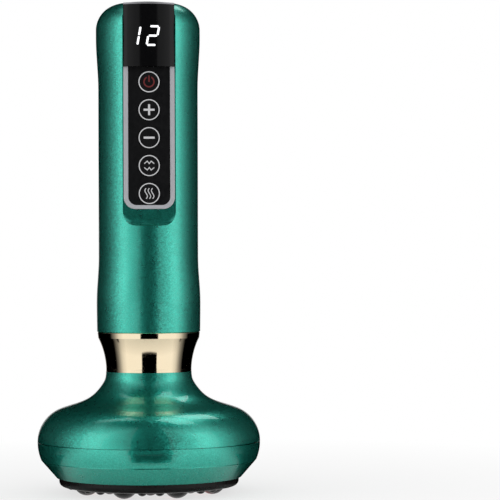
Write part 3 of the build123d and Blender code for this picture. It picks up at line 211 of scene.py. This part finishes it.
def polished_gold():
    """Champagne-gold plating with faint turning marks."""
    look = Look("champagne_gold", (0.94, 0.8, 0.57), 0.07, Metallic=1.0)
    marks = look.noise(0.25 * MM, 3.0, (0.02, 0.02, 1.0))
    look.rough(marks, 0.04, 0.1)
    look.set("Base Color", look.mix(look.noise(14 * MM), (0.93, 0.78, 0.54), (0.96, 0.83, 0.6)))
    look.set("Normal", look.bump(marks, 0.0015 * MM, 0.3))
    return look


# How light the bezel's paint is, by height: a painted shade line, near black, darkens it under the cap
# over the display, where the gap's shadow falls, and the cap's face is turned a darker grey than the rest.
CAP_PAINTED_SHADE = [(0.2, 1), (0.21155, 1), (0.2116, 0.03), (0.2118, 0.03), (0.2119, 0.45), (0.22, 0.45)]


def silver_paint():
    """Satin silver paint on the bezel, with a painted shade line under its cap."""
    look = Look("silver_plastic", (0.74, 0.75, 0.8), 0.36, Metallic=0.4)
    flakes = look.cells(0.2 * MM, "Distance")
    paint = look.mix(flakes, (0.78, 0.78, 0.83), (0.7, 0.7, 0.745))
    height = look.axes(look.place())[2]
    # The height ramp paints a shade line near black under the cap and turns the cap's face grey.
    look.set("Base Color", look.mix(look.ramp(height, CAP_PAINTED_SHADE), BLACK, paint))
    look.rough(look.noise(1.2 * MM), 0.3, 0.42)
    return look


def black_gloss():
    """Smoky black lens."""
    look = Look("black_gloss", (0.004, 0.004, 0.0045), 0.12, IOR=1.3)
    look.set("Base Color", look.mix(look.noise(6 * MM), (0.0035, 0.0035, 0.004), (0.005, 0.005, 0.0055)))
    look.rough(look.noise(3 * MM), 0.1, 0.14)
    return look


def fine_black(name, color, grain, depth, roughness):
    """Black moulding with a fine leathery grain."""
    look = Look(name, color, roughness, Specular_IOR_Level=0.3)
    relief = look.cells(grain, "Distance")
    look.set("Normal", look.bump(relief, depth, 0.5))
    look.rough(look.noise(2 * MM), roughness - 0.05, roughness + 0.05)
    look.set("Base Color", look.mix(relief, color, darker(color, 0.7)))
    return look


GREY, RED, DEEP_RED = (0.75, 0.75, 0.77), (0.2, 0.018, 0.02), (0.16, 0.015, 0.016)
INK_SPOT = 0.6 * MM
# How far the red reaches from the middle of the power key, and over what width it turns grey.
RED_REACH, RED_FADE = 3.4 * MM, 0.1 * MM


def ink(name, color):
    """Printed relief on the keys, a little uneven."""
    look = Look(name, color, 0.5)
    look.set("Base Color", look.mix(look.noise(INK_SPOT), color, darker(color, 0.9)))
    look.set("Normal", look.bump(look.noise(0.15 * MM), 0.004 * MM, 0.5))
    return look


def power_ink():
    """Dark red mark inside the same grey ring as the other keys have."""
    look = ink("dark_red_ink", RED)
    low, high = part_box("power_legend")
    middle = tuple((a + b) / 2 for a, b in zip(low, high))
    reach = look.vector("LENGTH", look.vector("SUBTRACT", look.place(), middle))
    ring = look.spread(reach, RED_REACH, RED_REACH + RED_FADE, 0.0, 1.0)
    look.set("Base Color", look.mix(ring, look.mix(look.noise(INK_SPOT), RED, DEEP_RED), GREY))
    return look


def lit_window():
    """Lit stroke of the display, white with a slight blue unevenness."""
    look = Look("digit_window", (0.9, 0.9, 0.92), 0.3, Emission_Strength=0.8)
    look.set("Emission Color", look.mix(look.noise(0.8 * MM), WHITE, (0.9, 0.95, 1.0)))
    return look


# The red lights behind the pad: how many, the radius of their circle and the angle of the first one.
LED_COUNT, LED_CIRCLE, LED_START = 8, 25.5 * MM, radians(16.5)
# Each glows as a small hot core in a wider halo.
CORE_REACH, CORE_STRENGTH = 1.0 * MM, 3.0
HALO_REACH, HALO_STRENGTH = 1.9 * MM, 0.9
# The glow ends at this radius, so that the pad's border stays dark, and fades over this width.
GLOW_EDGE, GLOW_FADE = 32 * MM, 3 * MM
# How much of the glow a surface shows, by the z of its normal: all of it where it faces straight down.
GLOW_FACING = [(-1, 1), (-0.99, 1), (-0.8, 0.35), (-0.6, 0.2), (-0.4, 0), (1, 0)]


def led_distance(look):
    """Distances in the pad's plane from the nearest of the red lights behind it and from the axis."""
    x, y, _ = look.axes(look.place())
    step = radians(360 / LED_COUNT)
    turn = look.math("SUBTRACT", look.math("ARCTAN2", y, x), LED_START)
    within = look.math("FLOORED_MODULO", look.math("ADD", turn, step / 2), step)
    near = look.math("SUBTRACT", within, step / 2)
    radius = look.hypotenuse(x, y)
    across = look.math("MULTIPLY", radius, look.math("SINE", near))
    along = look.math("SUBTRACT", look.math("MULTIPLY", radius, look.math("COSINE", near)), LED_CIRCLE)
    return look.hypotenuse(across, along), radius


def smoky_pad():
    """Smoky pad, satin, with the red lights glowing through it."""
    look = Look("smoky_pad", (0.008, 0.007, 0.007), 0.3, IOR=1.3)
    look.rough(look.noise(3 * MM), 0.24, 0.36)
    look.set("Normal", look.bump(look.noise(0.35 * MM, 3.0), 0.01 * MM, 0.4))
    paler = (0.01, 0.0085, 0.0085)
    look.set("Base Color", look.mix(look.noise(8 * MM), (0.0075, 0.0065, 0.0065), paler))
    distance, radius = led_distance(look)
    squared = look.math("POWER", look.math("DIVIDE", distance, CORE_REACH), 2)
    core = look.math("EXPONENT", look.math("MULTIPLY", squared, -1))
    halo = look.math("EXPONENT", look.math("DIVIDE", distance, -HALO_REACH))
    strength = look.math("ADD", look.math("MULTIPLY", core, CORE_STRENGTH),
                         look.math("MULTIPLY", halo, HALO_STRENGTH))
    facing = look.ramp(look.axes(look.normal())[2], GLOW_FACING)
    inner = look.spread(radius, GLOW_EDGE - GLOW_FADE, GLOW_EDGE, 1.0, 0.0)
    look.set("Emission Color", look.mix(core, (0.8, 0.02, 0.015), (1.0, 0.25, 0.08)))
    look.set("Emission Strength", look.math("MULTIPLY", strength, look.math("MULTIPLY", facing, inner)))
    return look


def foam():
    """Open-cell black foam with pale specks."""
    look = Look("black_foam", (0.012, 0.012, 0.012), 0.9)
    specks = look.spread(look.cells(0.7 * MM, "Distance"), 0.12, 0.2, 1.0, 0.0)
    look.set("Base Color", look.mix(specks, (0.01, 0.01, 0.01), (0.09, 0.085, 0.085)))
    look.set("Normal", look.bump(look.cells(0.5 * MM, "Distance"), 0.25 * MM))
    return look


def moulded(name, color, roughness):
    """Moulded plastic or rubber with a fine spark-eroded grain."""
    look = Look(name, color, roughness)
    relief = look.noise(0.4 * MM, 3.0)
    look.set("Normal", look.bump(relief, 0.01 * MM, 0.5))
    look.set("Base Color", look.mix(look.noise(7 * MM), color, darker(color, 0.88)))
    look.rough(relief, roughness - 0.06, roughness + 0.06)
    return look


def metal(name, color, roughness, stretch=(1.0, 1.0, 0.05)):
    """Metal with drawn or turned marks."""
    look = Look(name, color, roughness, Metallic=1.0)
    marks = look.noise(0.3 * MM, 3.0, stretch)
    look.set("Base Color", look.mix(look.noise(4 * MM), color, darker(color, 0.85)))
    look.rough(marks, roughness - 0.06, roughness + 0.08)
    look.set("Normal", look.bump(marks, 0.003 * MM, 0.4))
    return look


def circuit_board():
    """Solder mask with faint tracks showing through."""
    mask, mask_between, track = (0.015, 0.13, 0.05), (0.012, 0.11, 0.045), (0.03, 0.2, 0.09)
    look = Look("board", mask, 0.35, Coat_Weight=0.4, Coat_Roughness=0.2)
    pattern = look.node("ShaderNodeTexBrick")
    look.link(look.place(), pattern.inputs["Vector"])
    pattern.inputs["Scale"].default_value = 1 / (3 * MM)
    for socket, color in (("Color1", mask), ("Color2", mask_between), ("Mortar", track)):
        pattern.inputs[socket].default_value = (*color, 1)
    look.set("Base Color", pattern.outputs["Color"])
    return look


LOOKS = {look.name: look for look in (
    lacquer("green_lacquer", 0.3, 0.2),
    polished_gold(),
    silver_paint(),
    black_gloss(),
    fine_black("black_satin", (0.006, 0.006, 0.007), 0.3 * MM, 0.008 * MM, 0.42),
    ink("grey_ink", GREY),
    power_ink(),
    lit_window(),
    moulded("light_module", (0.02, 0.02, 0.022), 0.4),
    smoky_pad(),
    foam(),
    moulded("clear_red", (0.8, 0.05, 0.02), 0.15),
    moulded("liner_plastic", (0.02, 0.017, 0.017), 0.32),
    moulded("inner_plastic", (0.6, 0.6, 0.56), 0.5),
    circuit_board(),
    moulded("chip_black", (0.02, 0.02, 0.02), 0.5),
    moulded("cell_wrap", (0.03, 0.12, 0.35), 0.3),
    moulded("soft_black", (0.02, 0.02, 0.02), 0.7),
    moulded("soft_clear", (0.6, 0.6, 0.56), 0.35),
    moulded("amber_film", (0.4, 0.16, 0.02), 0.3),
    metal("steel", (0.6, 0.61, 0.63), 0.25),
    metal("zinc_steel", (0.5, 0.51, 0.53), 0.35),
    metal("bronze", (0.55, 0.36, 0.15), 0.4),
    metal("brass", (0.75, 0.57, 0.25), 0.3),
    metal("copper_winding", (0.6, 0.25, 0.1), 0.35, (0.05, 0.05, 1.0)),
    moulded("ferrite", (0.05, 0.05, 0.05), 0.75),
    lacquer("head_lacquer", 0.3, 0.04),
    fine_black("panel_satin", (0.006, 0.006, 0.007), 0.45 * MM, 0.012 * MM, 0.38),
)}
# Pieces whose look differs from that of their material's other pieces.
OWN_LOOK = {
    "bell_housing": "head_lacquer",
    "lower_ring": "head_lacquer",
    "key_plate": "panel_satin",
}
for part in frame["record"]["subparts"]:
    name = part["node"]
    mesh = nodes[name].data
    mesh.materials.clear()
    mesh.materials.append(LOOKS[OWN_LOOK.get(name, part["material_slot"])].material)


# ---------------------------------------------------------------- floor, cloths and panels
FLOOR_SIZE = 6.0
# Radius of the black dome, and half the width of the black mat, which lies just above the floor.
STUDIO = 1.6
MAT_HEIGHT = 0.4 * MM
# Place and size of the black card before the head.
CARD_AHEAD, CARD_HEIGHT = 60 * MM, 12.1 * MM
CARD_WIDTH, CARD_TALL = 27 * MM, 8.7 * MM
# Strength of the white panels overhead, and the point that they face.
PANEL_STRENGTH, PANEL_AIM = 1.8, (0, 0, 0.05)


def add(name, mesh, look):
    """Puts a mesh into the scene with its look."""
    mesh.materials.append(look.material)
    made = bpy.data.objects.new(name, mesh)
    scene.collection.objects.link(made)
    return made


def rectangle(name, width, height, look):
    """Level rectangle around the origin."""
    mesh = bpy.data.meshes.new(name)
    w, h = width / 2, height / 2
    mesh.from_pydata([(-w, -h, 0), (w, -h, 0), (w, h, 0), (-w, h, 0)], [], [(0, 1, 2, 3)])
    return add(name, mesh, look)


def plane(name, centre, facing, width, height, look):
    """Flat panel of the studio, facing a point."""
    made = rectangle(name, width, height, look)
    turn = (Vector(facing) - Vector(centre)).to_track_quat("Z", "Y")
    made.matrix_world = Matrix.Translation(centre) @ turn.to_matrix().to_4x4()
    return made


# The distances from the axis between which the floor fades into the background, and how much of
# the background's white it shows at each of them: to the camera, and in reflections.
FLOOR_SHOWN = (0.06, 0.3, 0.7, 1.0)
FLOOR_MIRRORED = (0.062, 0.14, 0.0, 1.0)
# Inside this radius the floor lets light up to the pad, so that its domes read from below.
PAD_REACH, PAD_FADE = 33 * MM, 5 * MM


def floor_look():
    """Pale floor that fades into the white background, and is clear from below."""
    look = Look("floor", (0.93, 0.93, 0.93), 0.8, Specular_IOR_Level=0.2)
    away = look.vector("LENGTH", look.place())
    path = look.node("ShaderNodeLightPath").outputs
    glossy = look.math("MAXIMUM", path["Is Glossy Ray"], path["Is Transmission Ray"])
    shown = look.math("MULTIPLY", look.spread(away, *FLOOR_SHOWN), path["Is Camera Ray"])
    mirrored = look.math("MULTIPLY", look.spread(away, *FLOOR_MIRRORED), glossy)
    white = look.node("ShaderNodeEmission")
    faded = look.blend(look.math("ADD", shown, mirrored), look.shader.outputs[0], white.outputs[0])
    beneath = look.spread(away, PAD_REACH, PAD_REACH + PAD_FADE, 1.0, 0.0)
    unseen = look.math("MULTIPLY", beneath, look.math("SUBTRACT", 1.0, path["Is Camera Ray"]))
    behind = look.node("ShaderNodeNewGeometry").outputs["Backfacing"]
    clear = look.node("ShaderNodeBsdfTransparent")
    look.show(look.blend(look.math("MAXIMUM", behind, unseen), faded, clear.outputs[0]))
    return look


def cloth(name):
    """Dead black for the cloths that darken reflections."""
    return Look(name, BLACK, 1.0, Specular_IOR_Level=0.0)


def degrees(look, operation, *values):
    """The angle that an arc function gives, in degrees."""
    return look.math("DEGREES", look.math(operation, *values))


def bearings(look):
    """How far a point lies beside the axis, ahead of it and up, and its degrees round from the front."""
    x, y, z = look.axes(look.place())
    ahead = look.math("MULTIPLY", y, -1)
    turn = look.math("ABSOLUTE", look.math("ARCTAN2", x, ahead))
    return x, ahead, z, look.math("DEGREES", turn)


def only_reflected(made):
    """Hides an object from all but reflections."""
    made.visible_camera = False
    made.visible_diffuse = False
    made.visible_shadow = False
    made.visible_transmission = False


def hang(made, look, cover):
    """Lets a cloth cover a share of what is behind it, in reflections only."""
    clear = look.node("ShaderNodeBsdfTransparent")
    look.show(look.blend(cover, clear.outputs[0], look.shader.outputs[0]))
    only_reflected(made)


def bright_panel(name, centre, width, height):
    """White panel overhead that only reflections see, for the glints on the bell's shoulder."""
    look = Look(name, BLACK, 1.0, Emission_Color=(*WHITE, 1), Emission_Strength=PANEL_STRENGTH)
    only_reflected(plane(name, centre, PANEL_AIM, width, height, look))


plane("floor", (0, 0, 0), (0, 0, 1), FLOOR_SIZE, FLOOR_SIZE, floor_look())

# Half the angle of the black strip in front, in degrees, and where its soft edge ends.
STRIP_HALF, STRIP_END = 19.2, 20.2
# The dome's cover, by degrees round from the front on either side.
ROUND = [(0, 1), (STRIP_HALF, 1), (STRIP_END, 0.5), (31, 0.42), (45, 0.1), (54, 0.0), (58, 0.0),
         (70, 0.15), (84, 0.45), (99, 0.8), (116, 0.97), (150, 1), (180, 1)]
# The same by degrees of height: overhead it is black all round.
UP = [(0, 0), (44, 0), (70, 1), (90, 1)]
# What is taken off it again at the back, by degrees round, and only low down, by degrees of height.
BACK = [(0, 0), (162, 0), (168, 0.5), (180, 0.5)]
LOW = [(0, 1), (5, 1), (8, 0), (90, 0)]
# Slit from side to side just behind the zenith, by degrees over from the front, and only high up.
SLIT = [(0, 0), (97, 0), (98, 1), (108, 1), (109, 0), (180, 0)]
HIGH = [(0, 0), (55, 0), (66, 1), (90, 1)]

look = cloth("black_dome")
mesh = bpy.data.meshes.new("black_dome")
shell = bmesh.new()
bmesh.ops.create_uvsphere(shell, u_segments=64, v_segments=32, radius=STUDIO)
bmesh.ops.bisect_plane(shell, geom=shell.verts[:] + shell.edges[:] + shell.faces[:], plane_co=(0, 0, 0),
                       plane_no=(0, 0, -1), clear_outer=True)
shell.to_mesh(mesh)
shell.free()
dome = add("black_dome", mesh, look)
_, ahead, z, turn = bearings(look)
rise = degrees(look, "ARCSINE", look.math("DIVIDE", z, look.vector("LENGTH", look.place())))
over = degrees(look, "ARCTAN2", z, ahead)
cover = look.math("MAXIMUM", look.ramp(turn, ROUND), look.ramp(rise, UP))
open_back = look.math("MULTIPLY", look.ramp(turn, BACK), look.ramp(rise, LOW))
slit = look.math("MULTIPLY", look.ramp(over, SLIT), look.ramp(rise, HIGH))
cover = look.math("MULTIPLY", look.math("SUBTRACT", cover, open_back), look.math("SUBTRACT", 1.0, slit))
hang(dome, look, cover)

# The mat carries the strip in front on over the floor, as a wedge: how far before the axis its
# point lies, its cover by degrees to the side as seen from there, and by distance ahead.
WEDGE_POINT = 4 * MM
WEDGE = [(0, 1), (STRIP_HALF, 1), (STRIP_END, 0), (180, 0)]
NEAR = [(0, 0), (0.11, 0), (0.113, 1), (STUDIO, 1)]
# The mat's cover at the sides and the back, by degrees round from the front.
FLANKS = [(0, 0), (60, 0), (72, 0.25), (84, 0.75), (96, 1), (162, 1), (168, 0.5), (180, 0.5)]
# Black half ring close behind the head, by degrees round and by distance from the axis.
UNDER = [(0, 0), (76, 0), (79, 1), (180, 1)]
INNER = [(0, 0), (0.043, 0), (0.044, 1), (0.1, 1), (0.115, 0), (STUDIO, 0)]

look = cloth("black_mat")
mat = rectangle("black_mat", 2 * STUDIO, 2 * STUDIO, look)
mat.location.z = MAT_HEIGHT
x, ahead, _, turn = bearings(look)
before = look.math("SUBTRACT", ahead, WEDGE_POINT)
aside = degrees(look, "ARCTAN2", look.math("ABSOLUTE", x), before)
front = look.math("MULTIPLY", look.ramp(aside, WEDGE), look.ramp(ahead, NEAR))
reach = look.vector("LENGTH", look.place())
under = look.math("MULTIPLY", look.ramp(turn, UNDER), look.ramp(reach, INNER))
hang(mat, look, look.math("MAXIMUM", look.math("ADD", look.ramp(turn, FLANKS), front), under))

# Low card before the head, which carries the dark strip of the surroundings down on its girth.
look = cloth("black_card")
place, facing = (0, -CARD_AHEAD, CARD_HEIGHT), (0, 0, CARD_HEIGHT)
hang(plane("black_card", place, facing, CARD_WIDTH, CARD_TALL, look), look, 1.0)

bright_panel("long_panel", (0.24, 0.26, 1.45), 1.44, 0.4)
bright_panel("hook_panel", (0.5, 0.7, 1.29), 0.5, 0.52)


# ---------------------------------------------------------------- lamps and world
# The two soft boxes stand at the same heading in degrees on either side of the front.
LAMP_HEADING, LAMP_DISTANCE, LAMP_HEIGHT = 62, 1.2, 0.45
LAMP_WIDTH, LAMP_TALL, LAMP_RADIANCE = 0.55, 0.9, 0.5
LAMP_AIM = Vector((0, 0, 0.1))
# The world's strength for light that falls on the part, and for what sees the world itself.
WORLD_LIGHT, WORLD_SEEN = 0.75, 1.0


def lamp(name, heading):
    """Soft box at a heading from the part's front, aimed at the part."""
    data = bpy.data.lights.new(name, "AREA")
    data.shape = "RECTANGLE"
    data.size, data.size_y = LAMP_WIDTH, LAMP_TALL
    data.energy = LAMP_RADIANCE * pi * LAMP_WIDTH * LAMP_TALL
    made = bpy.data.objects.new(name, data)
    scene.collection.objects.link(made)
    angle = radians(heading)
    made.location = (LAMP_DISTANCE * sin(angle), -LAMP_DISTANCE * cos(angle), LAMP_HEIGHT)
    made.rotation_mode = "QUATERNION"
    made.rotation_quaternion = (LAMP_AIM - made.location).to_track_quat("-Z", "Y")


lamp("left_box", -LAMP_HEADING)
lamp("right_box", LAMP_HEADING)

world = bpy.data.worlds.new("studio")
scene.world = world
world.use_nodes = True
tree = world.node_tree
rays = tree.nodes.new("ShaderNodeLightPath").outputs
seen = rays["Is Camera Ray"]
for ray in ("Is Glossy Ray", "Is Transmission Ray"):
    either = tree.nodes.new("ShaderNodeMath")
    either.operation = "MAXIMUM"
    tree.links.new(seen, either.inputs[0])
    tree.links.new(rays[ray], either.inputs[1])
    seen = either.outputs[0]
strength = tree.nodes.new("ShaderNodeMapRange")
strength.inputs["To Min"].default_value = WORLD_LIGHT
strength.inputs["To Max"].default_value = WORLD_SEEN
tree.links.new(seen, strength.inputs["Value"])
background = tree.nodes["Background"]
background.inputs["Color"].default_value = (*WHITE, 1)
tree.links.new(strength.outputs[0], background.inputs["Strength"])


# ---------------------------------------------------------------- camera
# Fitted to the photograph: headings and roll in degrees, places in the picture in its pixels.
CAMERA_HEADING, ROLL = -1.3, -0.2
CAMERA_DISTANCE, CAMERA_HEIGHT = 0.931, 0.09725
SENSOR = 36.0
FRAME_PX = 500
FOCAL_PX = 2117
AXIS_PX, HORIZON_PX = 148.5, 270
CLIP_START, CLIP_END = 0.01, 50

camera = bpy.data.objects.new("camera", bpy.data.cameras.new("camera"))
scene.collection.objects.link(camera)
camera.data.sensor_width = SENSOR
camera.data.lens = SENSOR * FOCAL_PX / FRAME_PX
camera.data.clip_start, camera.data.clip_end = CLIP_START, CLIP_END
heading = radians(CAMERA_HEADING)
camera.location = (CAMERA_DISTANCE * sin(heading), -CAMERA_DISTANCE * cos(heading), CAMERA_HEIGHT)
# The camera looks past the part, which stands left of the picture's middle.
yaw = atan((FRAME_PX / 2 - AXIS_PX) / FOCAL_PX) - heading
pitch = atan((HORIZON_PX - FRAME_PX / 2) / FOCAL_PX)
view = Vector((sin(yaw) * cos(pitch), cos(yaw) * cos(pitch), sin(pitch)))
camera.rotation_mode = "QUATERNION"
roll = Matrix.Rotation(radians(ROLL), 3, "Z").to_quaternion()
camera.rotation_quaternion = view.to_track_quat("-Z", "Y") @ roll
scene.camera = camera
scene.view_settings.view_transform = "Standard"
